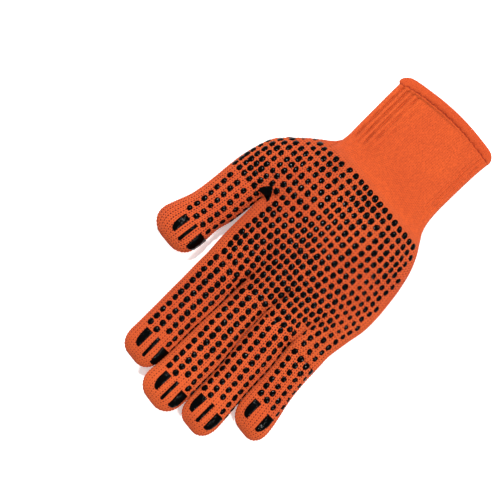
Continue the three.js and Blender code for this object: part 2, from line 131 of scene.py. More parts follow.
# The print
DOT_ROW = 5.16  # along the glove
DOT_RX = 1.79
DOT_RY = 2.17
DOT_RISE = 0.82
DOT_RINGS = ((1.02, -0.45), (1.0, 0.22), (0.93, 0.46), (0.74, 0.71), (0.42, 0.92))  # radius, height
DOT_APART = 2.95  # a dot nearer to another one is left out
DOT_MARGIN = 1.0  # from the edge of the front to a dot's middle
PALM_MARGIN = 3.1  # from the palm's right edge, seen from above
FORK_CLEAR = (6.4, 5.2)  # half sizes of the place that the fork's pad keeps free
DOT_CORNERS = 16
DOT_SQUARE = 2.3  # 2 gives an ellipse, more a squarer outline
FIRST_ROW = 54.3  # in the row frame
PAD_LENGTH = 11.8
PAD_WIDTH = 4.9
PAD_SPACING = 7.2
BAR_WIDTH = 2.2
BAR_LENGTH = 14.0
PAD_TIP_MARGIN = 6.2
FORK_PAD_SIZE = 8.6
PAD_RISE = 0.85
PAD_SUNK = -0.45  # its rim lies in the knit


def lerp(a, b, t):
    return a + (b - a) * t


def smooth(t):
    t = np.clip(t, 0, 1)
    return t * t * (3 - 2 * t)


def curve(steps, values, at):
    """Value of a table at a place between its steps, on the solids' own smooth curve."""
    xs, ys, i = np.array(steps, float), np.array(values, float), np.arange(len(steps))
    lo, hi = np.maximum(i - 1, 0), np.minimum(i + 1, len(xs) - 1)
    slope = (ys[hi] - ys[lo]) / (xs[hi] - xs[lo])
    i = np.clip(np.searchsorted(xs, at, side="right") - 1, 0, len(xs) - 2)
    span = xs[i + 1] - xs[i]
    t = np.clip((at - xs[i]) / span, 0, 1)
    return (
        ys[i] * (1 + 2 * t) * (1 - t) ** 2
        + slope[i] * span * t * (1 - t) ** 2
        + ys[i + 1] * t**2 * (3 - 2 * t)
        + slope[i + 1] * span * t**2 * (t - 1)
    )


def arch(t, power):
    return np.maximum(0, 1 - np.abs(2 * t - 1) ** power) ** (1 / power)


def finger_edges(i, distance):
    at = distance / MIDDLE_LENGTH
    widths = [f.width * curve(FINGER_STEPS, SWELL[f.name], at) for f in FINGERS]
    palm = sum(f.width * SWELL[f.name][0] for f in FINGERS)
    left = FINGERS[0].width * curve(FINGER_STEPS, DRIFT, at) - palm / 2 + sum(widths[:i])
    return left, left + widths[i]


PALM_LEFT = finger_edges(0, 0)[0]
PALM_RIGHT = finger_edges(3, 0)[1]
PALM_WIDTH = PALM_RIGHT - PALM_LEFT
FORKS = [finger_edges(i, 0)[1] for i in range(3)]


def place(left, right, top, floor=0.0, belly=None):
    """A section of the glove. Its front and its back meet at the belly's height."""
    return Place(left, right, top, floor, floor + BELLY * (top - floor) if belly is None else belly)


def middle_and_half(s):
    return (s.left + s.right) / 2, (s.right - s.left) / 2


def cuff_place(at):
    half = CUFF_WIDTH * curve(CUFF_STEPS, CUFF_WIDE, at) / 2
    middle = WRIST_OFFSET + CUFF_DRIFT * curve(CUFF_STEPS, CUFF_LEAN, at)
    return place(middle - half, middle + half, CUFF_HEIGHT * curve(CUFF_STEPS, CUFF_HIGH, at))


WRIST = cuff_place(0)


def palm_place(at):
    puff = PALM_WIDTH * curve(PALM_STEPS, PALM_PUFF, at)
    left = lerp(PALM_LEFT, WRIST.left, at) - puff
    right = lerp(PALM_RIGHT, WRIST.right, curve(PALM_STEPS, PALM_NARROW, at))
    ends = lerp(KNUCKLE_HEIGHT, WRIST.top, at)
    top = lerp(ends, PALM_HEIGHT, curve(PALM_STEPS, PALM_RISE, at))
    return place(left, right, top)


def palm_at(y):
    return palm_place(y / PALM_LENGTH)


FORK_PALM = palm_at(THUMB_FORK)
THUMB_RIGHT = FORK_PALM.left - CLEARANCE


def thumb_place(at):
    left = THUMB_RIGHT - THUMB.width * (1 - curve(THUMB_STEPS, THUMB_DRIFT, at))
    right = min(left + THUMB.width * curve(THUMB_STEPS, THUMB_WIDE, at), THUMB_RIGHT)
    near = max(0.0, 1 - at * THUMB.length / 4)
    top = THUMB.height * curve(THUMB_STEPS, THUMB_HIGH, at)
    belly = lerp(BELLY * top, FORK_PALM.belly, smooth(1 - at * THUMB.length / 14))
    return place(left, right + CLEARANCE * near, top, belly=belly)


def root_place(y):
    at = (y - THUMB_FORK) / (PALM_LENGTH - THUMB_FORK)
    palm = palm_at(y)
    fork = thumb_place(0)
    out = FORK_PALM.left - fork.left
    sunk = curve(ROOT_STEPS, ROOT_SUNK, at)
    left = palm.left - curve(ROOT_STEPS, ROOT_REACH, at) * out
    top = lerp(fork.top, palm.top, sunk / max(ROOT_SUNK))
    return place(left, palm.left + sunk * PALM_WIDTH, top, belly=palm.belly)


def finger_place(i, at):
    finger = FINGERS[i]
    distance = at * finger.length
    left, right = finger_edges(i, distance)
    root = lerp(KNUCKLE_HEIGHT, finger.height, min(1, at / 0.3))
    inset = CLEARANCE / 2 * min(1, distance / 5)
    top = root * curve(RISE_STEPS, FINGER_RISE, min(1, at))
    belly = lerp(BELLY, FINGER_BELLY, smooth(distance / 14))
    return place(left + inset, right - inset, top, belly=belly * top)


def digit_place(i, at):
    return thumb_place(at) if i < 0 else finger_place(i, at)


def digits():
    """The thumb and the fingers: number, sizes, height of the fork, and how far the pads are from it."""
    for i, finger in [(-1, THUMB), *enumerate(FINGERS)]:
        start = finger.length - PAD_TIP_MARGIN - (BAR_LENGTH + PAD_LENGTH) / 2
        yield i, finger, THUMB_FORK if i < 0 else 0.0, start


def closed_at_tip(s, length, distance):
    """The section s of a finger of that length, drawn in where the tip closes."""
    into = min(1.0, max(0.0, (distance - (length - TIP_ROUND)) / TIP_ROUND))
    wide, high = (1 - into**2.5) ** 0.4, (1 - into**2.2) ** (1 / 2.2)
    middle, half = middle_and_half(s)
    half = half * wide
    tall = (s.top - s.floor) * high
    low = s.floor + (s.top - s.floor - tall) * BELLY
    belly = low + (s.belly - s.floor) * high
    return place(middle - half, middle + half, low + tall, low, belly)


def front(s, x):
    """Height of a section's front at x, and its belly's height outside it."""
    t = np.clip((x - s.left) / max(s.right - s.left, 1e-6), 0, 1)
    return s.belly + (s.top - s.belly) * arch(t, FRONT_POWER)


def back(s, x):
    t = np.clip((x - s.left) / max(s.right - s.left, 1e-6), 0, 1)
    drop = np.minimum(1, UNDERSIDE_FLAT * arch(t, BACK_POWER))
    return s.belly + (s.floor - s.belly) * drop


def soft_max(a, b, k):
    h = np.maximum(k - np.abs(a - b), 0) / max(k, 1e-6)
    return np.maximum(a, b) + h * h * k / 4


# Slow unevenness of the cloth, the same at every run
WAVES = [(RNG.uniform(0.03, 0.16), RNG.uniform(0, 2 * math.pi), RNG.uniform(0, 6)) for _ in range(9)]


def waves(x, y):
    total = 0
    for k, (f, turn, phase) in enumerate(WAVES):
        total = total + np.sin(f * (x * math.cos(turn) + y * math.sin(turn)) * (1 + 0.3 * k) + phase)
    return total / len(WAVES)


def finger_valleys(y):
    """How far the palm's front, and its back, are drawn into four lobes at this distance."""
    on_front = 0.5 * math.exp(-y / 3.2) + 0.5 * (1 - smooth(y / 34))
    on_back = 0.4 * math.exp(-y / 5) + 0.6 * (1 - smooth(y / 32))
    return on_front, on_back


def palm_profile(y, x):
    """Front and back heights of the hand at y above the finger forks."""
    palm = palm_at(y)
    zf, zb = front(palm, x), back(palm, x)
    if y < THUMB_FORK:
        on_front, on_back = finger_valleys(y)
        edges = np.array([palm.left, *FORKS, palm.right])
        lobe = np.clip(np.searchsorted(edges, x, side="right") - 1, 0, 3)
        t = (x - edges[lobe]) / (edges[lobe + 1] - edges[lobe])
        span = palm.top - palm.belly
        lobes = palm.belly + span * arch(t, FRONT_POWER)
        flat = palm.belly * (1 - np.minimum(1, UNDERSIDE_FLAT * arch(t, BACK_POWER)))
        zf = lerp(zf, np.minimum(zf, lobes) if y > 0.01 else lobes, on_front)
        zb = lerp(zb, np.maximum(zb, flat) if y > 0.01 else flat, on_back)
    else:
        root = root_place(y)
        k = 2.6 * smooth((y - THUMB_FORK) / 16)
        on_root = (x > root.left) & (x < root.right)
        fade = 1 - smooth((y - PALM_LENGTH + ROOT_FADE) / ROOT_FADE)
        zf = np.where(on_root, lerp(zf, soft_max(zf, front(root, x), k), fade), zf)
        zb = np.where(on_root, lerp(zb, np.minimum(zb, back(root, x)), fade), zb)
    return zf, zb


def hand_edges(y):
    palm = palm_at(y)
    left = palm.left if y < THUMB_FORK else min(root_place(y).left, palm.left)
    return left, palm.right


def spaced(left, right, stops=(), count=260):
    """x from left to right, crowded at the edges and at the stops."""
    edges = [left, *stops, right]
    parts = []
    for a, b in zip(edges, edges[1:]):
        n = max(12, int(count * (b - a) / (right - left)))
        parts.append((a + b) / 2 - (b - a) / 2 * np.cos(np.linspace(0, math.pi, n)))
    return np.unique(np.concatenate(parts))


def length_along(x, z):
    return np.concatenate([[0], np.cumsum(np.hypot(np.diff(x), np.diff(z)))])


def shared_out(x, z, columns, stops, stop_columns, hold):
    """Points along a profile: even, or with a given column on each stop, by how far hold is 1."""
    s = length_along(x, z)
    even = np.linspace(0, s[-1], columns + 1)
    at_stops = np.interp([x[0], *stops, x[-1]], x, s)
    held = np.interp(np.arange(columns + 1), [0, *stop_columns, columns], at_stops)
    target = lerp(even, held, hold)
    return np.interp(target, s, x), np.interp(target, s, z)


def closed_ring(x, zf, zb, columns, stops=(), stop_columns=(), hold=0.0):
    """Front from left to right, then the back from right to left: an array of (x, z)."""
    fx, fz = shared_out(x, zf, columns, stops, stop_columns, hold)
    bx, bz = shared_out(x, zb, columns, stops, stop_columns, hold)
    return np.stack([np.append(fx, bx[-2:0:-1]), np.append(fz, bz[-2:0:-1])], 1)


def digit_ring(i, distance, columns):
    length = (THUMB if i < 0 else FINGERS[i]).length
    s = closed_at_tip(digit_place(i, distance / length), length, distance)
    x = spaced(s.left, s.right, count=90)
    return closed_ring(x, front(s, x), back(s, x), columns)


def lower_palm_ring(y, columns):
    palm = palm_at(y)
    x = spaced(palm.left, palm.right, FORKS)
    zf, zb = palm_profile(y, x)
    counts = np.cumsum([f.wales for f in FINGERS])[:-1] / PALM_WALES * columns
    hold = 1 - smooth(y / THUMB_FORK)
    return closed_ring(x, zf, zb, columns, FORKS, np.round(counts), hold)


def upper_hand_ring(y, columns):
    left, right = hand_edges(y)
    pinch = palm_at(y).left
    pinched = pinch > left + 0.5
    x = spaced(left, right, [pinch] if pinched else [])
    zf, zb = palm_profile(max(y, THUMB_FORK), x)
    thumb_columns = columns * THUMB.wales / (THUMB.wales + PALM_WALES)
    hold = 1 - smooth((y - THUMB_FORK) / 40) if pinched else 0
    return closed_ring(x, zf, zb, columns, [pinch], [thumb_columns], hold)


def tip_distances(length):
    """Distances of a finger's rings, closing up where the tip rounds off."""
    shaft = length - TIP_ROUND
    turn = np.linspace(0, math.radians(87), int(TIP_ROUND * 1.5 / STEP))[1:]
    return np.append(np.linspace(0, shaft, int(shaft / STEP)), shaft + TIP_ROUND * np.sin(turn) ** 0.8)


def grid_normals(points):
    """Outward normals of rings of points, shaped (rings, columns, 3)."""
    around = np.roll(points, -1, 1) - np.roll(points, 1, 1)
    n = np.cross(around, np.gradient(points, axis=0))
    size = np.linalg.norm(n, axis=2, keepdims=True)
    return n / np.maximum(size, 1e-9)


def ring_quads(index):
    """Faces between closed rings of points, from their index shaped (rings, columns)."""
    onwards = np.roll(index, -1, 1)
    return np.stack([index[:-1], onwards[:-1], onwards[1:], index[1:]], 2).reshape(-1, 4)


def stitches(u, v):
    """Height of the knit, 0 to 1, at u columns of stitches and v rows.

    Each stitch has two slanted legs, which touch those of its neighbours and leave a hole between.
    """
    off = np.abs(u - np.floor(u) - 0.5)
    slant = np.cos(2 * math.pi * (v + 0.85 * off))
    legs = np.exp(-(((off - 0.25) / 0.14) ** 2)) * (0.74 + 0.26 * slant)
    touch = 0.62 * np.exp(-(((0.5 - off) / 0.13) ** 2)) * (0.5 + 0.5 * slant) ** 1.5
    return np.minimum(legs + touch + 0.3 * np.exp(-((off / 0.1) ** 2)), 1)


def add_object(name, data):
    made = bpy.data.objects.new(name, data)
    bpy.context.scene.collection.objects.link(made)
    return made


def mesh_object(name, points, quads, triangles, uv, material):
    """A smooth-shaded mesh from millimetre points. uv is None or one pair for each face corner."""
    quads = np.asarray(quads, np.int32).reshape(-1, 4)
    triangles = np.asarray(triangles, np.int32).reshape(-1, 3)
    corners = np.concatenate([quads.ravel(), triangles.ravel()])
    sizes = np.repeat([4, 3], [len(quads), len(triangles)])
    starts = np.cumsum(sizes) - sizes
    mesh = bpy.data.meshes.new(name)
    mesh.vertices.add(len(points))
    mesh.vertices.foreach_set("co", ((points + SHIFT) * MM).astype(np.float32).ravel())
    mesh.loops.add(len(corners))
    mesh.loops.foreach_set("vertex_index", corners)
    mesh.polygons.add(len(starts))
    mesh.polygons.foreach_set("loop_start", starts.astype(np.int32))
    mesh.polygons.foreach_set("use_smooth", np.ones(len(starts), bool))
    if uv is not None:
        layer = mesh.uv_layers.new(name="knit")
        layer.data.foreach_set("uv", np.asarray(uv, np.float32).ravel())
    mesh.update()
    mesh.validate()
    mesh.materials.append(material)
    made = add_object(name, mesh)
    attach(made, "root")
    return made


# Where the glove's own frame stands in the row frame
palm_low, palm_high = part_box("palm")
SHIFT = np.array([palm_high.x, palm_low.y, palm_low.z]) / MM
SHIFT[0] -= max(palm_place(at).right for at in PALM_STEPS)


class Points:
    """Collects the points of a mesh."""

    def __init__(self):
        self.points, self.count = [], 0

    def collect(self, points):
        """Adds points shaped (rows, columns, 3) and gives their index, shaped (rows, columns)."""
        rows, columns = points.shape[:2]
        index = self.count + np.arange(rows * columns).reshape(rows, columns)
        self.points.append(points.reshape(-1, 3))
        self.count += rows * columns
        return index


class Cloth(Points):
    """Rings of knit welded into one surface, which is then cut into named pieces without a seam."""

    def __init__(self):
        super().__init__()
        self.parts, self.welds = {}, []

    def add(self, part, rings, u, v, relief, cap=False, wavy=0.35):
        """rings is (rows, columns, 3), towards the cuff. u has a value more than columns."""
        normals = grid_normals(rings)
        uu, vv = np.meshgrid(u[:-1], v)
        x, y = rings[..., 0], rings[..., 1]
        rise = relief * stitches(uu, vv + 0.12 * waves(x * 3, y * 3))
        rise = rise + wavy * waves(x, y) * (normals[..., 2] > 0)
        rise = rise - relief * np.clip(-2 * normals[..., 2], 0, 1)
        raised = rings + normals * rise[..., None]
        index = self.collect(raised)
        quads, triangles, uvs, tri_uvs = self.parts.setdefault(part, ([], [], [], []))
        quads.append(ring_quads(index))
        u0, v0 = np.meshgrid(u[:-1], v[:-1])
        u1, v1 = np.meshgrid(u[1:], v[1:])
        corners = [[u0, v0], [u1, v0], [u1, v1], [u0, v1]]
        uvs.append(np.stack([np.stack(c, 2) for c in corners], 2).reshape(-1, 2))
        if cap:
            tip = self.collect(raised[0].mean(0)[None, None])
            tip = np.full(len(index[0]), tip[0, 0])
            triangles.append(np.stack([np.roll(index[0], -1), index[0], tip], 1))
            ends = [u[1:], u[:-1], (u[:-1] + u[1:]) / 2]
            ends = [np.stack([end, np.full(len(end), v[0])], 1) for end in ends]
            tri_uvs.append(np.stack(ends, 1).reshape(-1, 2))
        return index

    def join(self, first, second, part, u, v):
        """Faces between a ring of one part and the next ring of another."""
        a, b = np.roll(first, -1), np.roll(second, -1)
        quads, _, uvs, _ = self.parts[part]
        quads.append(np.stack([first, a, b, second], 1))
        corners = [(u[:-1], v[0]), (u[1:], v[0]), (u[1:], v[1]), (u[:-1], v[1])]
        corners = [np.stack([c, np.full(len(c), w)], 1) for c, w in corners]
        uvs.append(np.stack(corners, 1).reshape(-1, 2))

    def weld(self, first, second):
        self.welds.append((np.asarray(first), np.asarray(second)))

    def finish(self):
        """Joins the welded points at their middle and works out one normal for each point."""
        points = np.concatenate(self.points)
        same = np.arange(len(points))
        for first, second in self.welds * 3:
            low = np.minimum(same[first], same[second])
            np.minimum.at(same, first, low)
            np.minimum.at(same, second, low)
        total, number = np.zeros_like(points), np.zeros(len(points))
        np.add.at(total, same, points)
        np.add.at(number, same, 1)
        self.where = total[same] / number[same][:, None]
        self.where[:, 2] = np.maximum(self.where[:, 2], 0.02)
        normals = np.zeros_like(points)
        for quads, triangles, _, _ in self.parts.values():
            for faces in (quads, triangles):
                if not faces:
                    continue
                corners = same[np.concatenate(faces)]
                p = self.where[corners]
                if corners.shape[1] == 4:
                    n = np.cross(p[:, 2] - p[:, 0], p[:, 3] - p[:, 1])
                else:
                    n = np.cross(p[:, 1] - p[:, 0], p[:, 2] - p[:, 0])
                for column in corners.T:
                    np.add.at(normals, column, n)
        self.normals = normals[same]
        self.normals /= np.maximum(np.linalg.norm(self.normals, axis=1, keepdims=True), 1e-12)
        self.same = same

    def piece(self, part, name, material, slot, *nodes):
        quads, triangles, uvs, tri_uvs = self.parts[part]
        quads = self.same[np.concatenate(quads)]
        triangles = self.same[np.concatenate(triangles)] if triangles else np.zeros((0, 3), int)
        used, corners = np.unique(np.append(quads, triangles), return_inverse=True)
        q = corners[: quads.size].reshape(-1, 4)
        t = corners[quads.size :].reshape(-1, 3)
        uv = np.concatenate(uvs + tri_uvs)
        made = mesh_object(name, self.where[used], q, t, uv, material)
        if len(made.data.vertices) == len(used):
            made.data.normals_split_custom_set_from_vertices(self.normals[used].tolist())
        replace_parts(made, *nodes)
        return made


def rings_at(ys, ring):
    """Rings of points towards the cuff: ring(y) gives their (x, z)."""
    out = []
    for y in ys:
        xz = ring(y)
        out.append(np.stack([xz[:, 0], np.full(len(xz), y), xz[:, 1]], 1))
    return np.array(out)


def along(rings, column):
    """How far each ring is from the first one, along one column."""
    steps = np.linalg.norm(np.diff(rings[:, column], axis=0), axis=1)
    return np.concatenate([[0], np.cumsum(steps)])


class Shader:
    """Short words for building a material out of maths nodes."""

    def __init__(self, name):
        self.material = bpy.data.materials.new(name)
        self.material.use_nodes = True
        self.tree = self.material.node_tree
        self.bsdf = self.tree.nodes["Principled BSDF"]
        self.where = self.node("ShaderNodeTexCoord").outputs["Object"]

    def node(self, kind, inputs=(), **settings):
        made = self.tree.nodes.new(kind)
        for key, value in settings.items():
            setattr(made, key, value)
        for socket, value in inputs:
            self.plug(value, made.inputs[socket])
        return made

    def plug(self, value, socket):
        if isinstance(value, bpy.types.NodeSocket):
            self.tree.links.new(value, socket)
        else:
            socket.default_value = value

    def maths(self, operation, a, b=0.0, c=0.0, clamp=False):
        n = self.node("ShaderNodeMath", enumerate((a, b, c)), operation=operation, use_clamp=clamp)
        return n.outputs[0]

    def times(self, a, b, clamp=False):
        return self.maths("MULTIPLY", a, b, clamp=clamp)

    def split(self, vector):
        return self.node("ShaderNodeSeparateXYZ", [(0, vector)]).outputs

    def noise(self, scale, detail):
        inputs = [("Scale", scale), ("Detail", detail), ("Vector", self.where)]
        return self.node("ShaderNodeTexNoise", inputs).outputs["Fac"]

    def ramp(self, value, low, high, to_low=0.0, to_high=1.0):
        inputs = enumerate((value, low, high, to_low, to_high))
        return self.node("ShaderNodeMapRange", inputs, interpolation_type="SMOOTHSTEP").outputs[0]

    def mix(self, share, a, b):
        return self.node("ShaderNodeMix", [(0, share), (6, a), (7, b)], data_type="RGBA").outputs[2]

    def bump(self, height, strength, distance):
        inputs = [("Strength", strength), ("Distance", distance), ("Height", height)]
        self.surface("Normal", self.node("ShaderNodeBump", inputs).outputs[0])

    def surface(self, name, value):
        """Sets one of the surface's own sockets."""
        self.plug(value, self.bsdf.inputs[name])


def srgb(r, g, b):
    """A colour as it looks on the screen, 0 to 255, as the shader's linear one."""
    linear = [((c / 255 + 0.055) / 1.055) ** 2.4 if c > 10 else c / 255 / 12.92 for c in (r, g, b)]
    return (*linear, 1.0)


def knit_material(
    name, light, deep, hole, holes, depth, grain, fuzz=0.12, thread=3.0, seam=False, eased=False
):
    """Knitted yarn: two slanted legs a stitch, with painted shade in the holes between the columns and
    the rows. The hole colour is that painted shade, and it also serves the random mottle.

    holes is how strongly the painted shade of the holes shows. It fades towards the fingertips and,
    where eased, towards the fine knit of the wrist. A seam is a broken darker line along the first row.
    """
    sh = Shader(name)
    light, deep, hole = srgb(*light), srgb(*deep), srgb(*hole)
    u, v, _ = sh.split(sh.node("ShaderNodeUVMap", uv_map="knit").outputs[0])
    wander = sh.maths("MULTIPLY_ADD", sh.noise(260.0, 2.0), 0.5, -0.25)
    u = sh.maths("ADD", u, sh.times(wander, 0.35))
    s = sh.maths("FRACT", u)
    off = sh.maths("ABSOLUTE", sh.maths("SUBTRACT", s, 0.5))
    phase = sh.maths("ADD", v, sh.maths("MULTIPLY_ADD", off, 0.85, wander))
    beat = sh.maths("COSINE", sh.times(phase, 2 * math.pi))
    beat = sh.maths("MULTIPLY_ADD", beat, 0.5, 0.5)
    leg = sh.ramp(sh.maths("ABSOLUTE", sh.maths("SUBTRACT", off, 0.25)), 0.0, 0.2, 1.0, 0.0)
    between = sh.ramp(off, 0.29, 0.43)
    inside = sh.ramp(off, 0.15, 0.02)
    gap = sh.maths("MAXIMUM", between, sh.times(inside, 0.55))
    # Painted shade in the stitch holes: where the rows of stitches part, broken up by noise
    hole_shade = sh.times(gap, sh.ramp(beat, 0.78, 0.16))
    hole_shade = sh.times(hole_shade, sh.ramp(sh.noise(420.0, 2.0), 0.3, 0.62, 0.55, 1.1))
    lengthwise = sh.split(sh.where)[1]
    hole_shade = sh.times(hole_shade, sh.ramp(lengthwise, -0.115, -0.03, 0.5, 1.0))
    if eased:
        hole_shade = sh.times(hole_shade, sh.ramp(lengthwise, 0.045, 0.058, 1.0, 0.25))
    tone = sh.ramp(sh.noise(28.0, 4.0), 0.3, 0.72)
    yarn = sh.mix(tone, deep, light)
    fleck = sh.ramp(sh.noise(2600.0, 2.0), 0.35, 0.65, 0.0, 0.22)
    yarn = sh.mix(fleck, yarn, deep)
    mottle = sh.ramp(sh.noise(720.0, 1.0), 0.38, 0.62, 0.0, grain)
    yarn = sh.mix(mottle, yarn, hole)
    # The painted shade of the holes, laid over the yarn in the hole colour
    colour = sh.mix(sh.times(hole_shade, holes, clamp=True), yarn, hole)
    if seam:
        broken = sh.ramp(sh.noise(620.0, 1.0), 0.36, 0.56, 0.15, 0.75)
        colour = sh.mix(sh.times(sh.ramp(v, 1.1, 0.45), broken), colour, srgb(130, 32, 14))
    sh.surface("Base Color", colour)
    twist = sh.maths("ADD", v, sh.times(s, thread))
    twist = sh.maths("SINE", sh.times(twist, 25.0))
    body = sh.times(leg, sh.maths("MULTIPLY_ADD", beat, 0.5, 0.5))
    height = sh.maths("MULTIPLY_ADD", twist, 0.06, body)
    height = sh.maths("MULTIPLY_ADD", sh.noise(1900.0, 3.0), 0.35, height)
    sh.bump(height, 0.85, depth)
    sh.surface("Roughness", sh.ramp(tone, 0.0, 1.0, 0.86, 0.95))
    sh.surface("Specular IOR Level", 0.22)
    sh.surface("Sheen Weight", fuzz)
    sh.surface("Sheen Roughness", 0.45)
    sh.surface("Sheen Tint", srgb(255, 150, 95))
    return sh.material


def pvc_material():
    sh = Shader("black_pvc")
    patch = sh.ramp(sh.noise(170.0, 3.0), 0.35, 0.7)
    sh.surface("Base Color", sh.mix(patch, srgb(0.2, 0.2, 0.2), srgb(0.9, 0.7, 0.9)))
    lumps = sh.maths("MULTIPLY_ADD", sh.noise(900.0, 2.0), 0.6, sh.noise(330.0, 2.0))
    sh.bump(lumps, 0.2, 0.0003)
    sh.surface("Roughness", sh.ramp(patch, 0.0, 1.0, 0.08, 0.13))
    sh.surface("Specular IOR Level", 0.06)
    return sh.material


# The fourth colour of each knit is the painted shade of its stitch holes, also used for its random
# mottle
HAND = knit_material(
    "hand_knit", (208, 88, 40), (193, 74, 32), (78, 10, 5), 1.75, 0.0005, 0.05, eased=True
)
CUFF = knit_material("cuff_knit", (205, 84, 34), (195, 75, 29), (96, 17, 6), 0.62, 0.0003, 0.14)
HEM = knit_material(
    "hem_knit", (199, 81, 33), (187, 69, 27), (150, 40, 15), 0.8, 0.0003, 0.15, 0.14, 4.0, seam=True
)
PVC = pvc_material()

# Surfaces that the print lies on, without their stitches: rings towards the cuff
SURFACE = {}


def wales(columns, first=0.0):
    """Columns of stitches at the mesh columns round a ring, counted from first."""
    return np.arange(2 * columns + 1) / COLUMNS + first


def gathered(a, v):
    """Rows and relief of a finger's knit, which draws together into its closed tip without holes."""
    last = math.floor(np.interp(2.6, a, v)) + 0.65
    return np.maximum(v, last), (RELIEF * smooth((a + 0.3) / 4.5))[:, None]


def add_digit(cloth, part, i, finger, base, first):
    """Knits the closed tube of the thumb or a finger, tip first, up to its fork at y = base."""
    columns = COLUMNS * finger.wales
    distances = tip_distances(finger.length)[::-1]
    rings = rings_at(base - distances, lambda y: digit_ring(i, base - y, columns))
    SURFACE[finger.name] = rings
    a = along(rings, columns // 2)
    v, relief = gathered(a, (base - a[-1] + a) / COURSE)
    return cloth.add(part, rings, wales(columns, first / COLUMNS), v, relief, cap=True)


def build_hand(cloth):
    columns = COLUMNS * PALM_WALES
    n = COLUMNS * THUMB.wales
    total = columns + n
    ys = np.linspace(THUMB_FORK, PALM_LENGTH, int((PALM_LENGTH - THUMB_FORK) / STEP))
    rings = SURFACE["upper"] = rings_at(ys, lambda y: upper_hand_ring(y, total))
    u = wales(total, -THUMB.wales)
    printed = ys <= FINE_FROM
    ease = smooth((ys[printed] - EASE_FROM) / (FINE_FROM - EASE_FROM))
    relief = lerp(RELIEF, CUFF_RELIEF, ease)[:, None]
    upper = cloth.add("hand", rings[printed], u, ys[printed] / COURSE, relief)
    fine = FINE_FROM / COURSE + (ys[~printed] - FINE_FROM) / CUFF_COURSE
    wrist = cloth.add("cuff", rings[~printed], u, fine, CUFF_RELIEF)
    cloth.join(upper[-1], wrist[0], "cuff", u, (fine[0] - 0.3, fine[0]))

    thumb = add_digit(cloth, "hand", -1, THUMB, THUMB_FORK, -n)
    cloth.weld(upper[0, : n + 1], thumb[-1, : n + 1])
    cloth.weld(upper[0, 2 * total - n :], thumb[-1, n:])

    ys = np.linspace(0, THUMB_FORK, int(THUMB_FORK / STEP))
    SURFACE["lower"] = rings_at(ys, lambda y: lower_palm_ring(y, columns))
    lower = cloth.add("knuckles", SURFACE["lower"], wales(columns), ys / COURSE, RELIEF)
    cloth.weld(upper[0, n : 2 * total - n], lower[-1])
    cloth.weld(upper[0, 2 * total - n], lower[-1, 0])

    start = 0
    for i, finger in enumerate(FINGERS):
        n = COLUMNS * finger.wales
        tube = add_digit(cloth, "fingers", i, finger, 0.0, start)
        cloth.weld(lower[0, start : start + n + 1], tube[-1, : n + 1])
        back = (2 * columns - start - np.arange(n + 1)) % (2 * columns)
        cloth.weld(lower[0, back], tube[-1, (2 * n - np.arange(n + 1)) % (2 * n)])
        start += n
    return wrist, fine[-1]


def mouth_drop(share):
    return -MOUTH_DROP * np.maximum(0, 1 - share / 0.75) ** 2


# Grooves along the cuff: share of its width, depth in mm, half width as a share
PLEATS = [(0.05, 2.8, 0.01), (0.1, 2.7, 0.0095), (0.148, 2.5, 0.0095), (0.2, 1.6, 0.0105)]
PLEATS += [(0.262, 0.8, 0.01), (0.9, 0.6, 0.008), (0.93, 0.8, 0.008), (0.962, 0.8, 0.008)]

# The hem's section, from the cuff's face over the mouth and down inside: share of its length, mm out
ROLL = [(-0.08, -0.42), (0.0, -0.2), (0.07, 0.3), (0.16, 0.7), (0.32, 1.05), (0.6, 1.1)]
ROLL += [(0.8, 0.85), (0.93, 0.4), (0.99, -0.1), (1.0, -0.6), (0.99, -1.1), (0.93, -1.6)]
ROLL += [(0.8, -1.9), (0.5, -2.0), (0.1, -2.0), (-0.2, -2.0)]


def cuff_ring(at, columns, grow=0.0, sink=0.0):
    """A ring of the cuff with its own y. grow makes it larger all round, sink lowers its front."""
    s = cuff_place(at)
    x = spaced(s.left, s.right, count=200)
    share = (x - s.left) / (s.right - s.left)
    reach = smooth(at / 0.28) * (1 - smooth((at - 0.95) / 0.05))
    reach = reach * (0.85 + 0.25 * np.sin(at * 23 + share * 60))
    groove = sum(d * np.exp(-(((share - c) / w) ** 2)) for c, d, w in PLEATS) * reach
    ring = closed_ring(x, front(s, x) - groove, back(s, x), columns)
    side = (ring[:, 0] - s.left) / (s.right - s.left)
    y = PALM_LENGTH + at * (CUFF_LENGTH + JOIN_GAP) + mouth_drop(side) * at
    middle, half = middle_and_half(s)
    rx = middle + (ring[:, 0] - middle) * (half + grow) / half
    rise = (s.top - s.belly + grow - sink) / (s.top - s.belly)
    drop = (s.belly + min(grow, 0)) / s.belly
    dz = ring[:, 1] - s.belly
    return np.stack([rx, y, s.belly + dz * np.where(dz > 0, rise, drop)], 1)


def hem_ring(at, out, columns, on_face):
    """A ring of the hem. Where it starts on the cuff's face, only its front is drawn in."""
    grow, sink = (max(out, 0), max(-out, 0)) if on_face else (out, 0.0)
    ring = cuff_ring(1.0, columns, grow, sink)
    side = (ring[:, 0] - ring[:, 0].min()) / np.ptp(ring[:, 0])
    round_off = np.clip((2 * side - 1.82) / 0.18, 0, 1)
    corner = -HEM_CORNER * 1.35 * (1 - np.sqrt(1 - round_off**2))
    corner -= 2.8 * (1 - np.sqrt(1 - np.clip(1 - side / 0.05, 0, 1) ** 2))
    corner += 0.9 * smooth((0.25 - side) / 0.25)
    pucker = 0.25 * np.sin(side * 113) + 0.2 * np.sin(side * 71 + 2)
    ring[:, 0] -= max(out, 0) * 0.9 * smooth((side - 0.93) / 0.07)
    ring[:, 0] -= 0.6 * math.sin(math.pi * min(max(at, 0), 1)) * smooth((0.06 - side) / 0.06)
    ring[:, 1] += pucker * max(0, 1 - abs(at) * 4) + JOIN_GAP + at * (HEM_LENGTH + corner)
    ring[:, 2] = np.maximum(ring[:, 2], 0.12)
    return ring


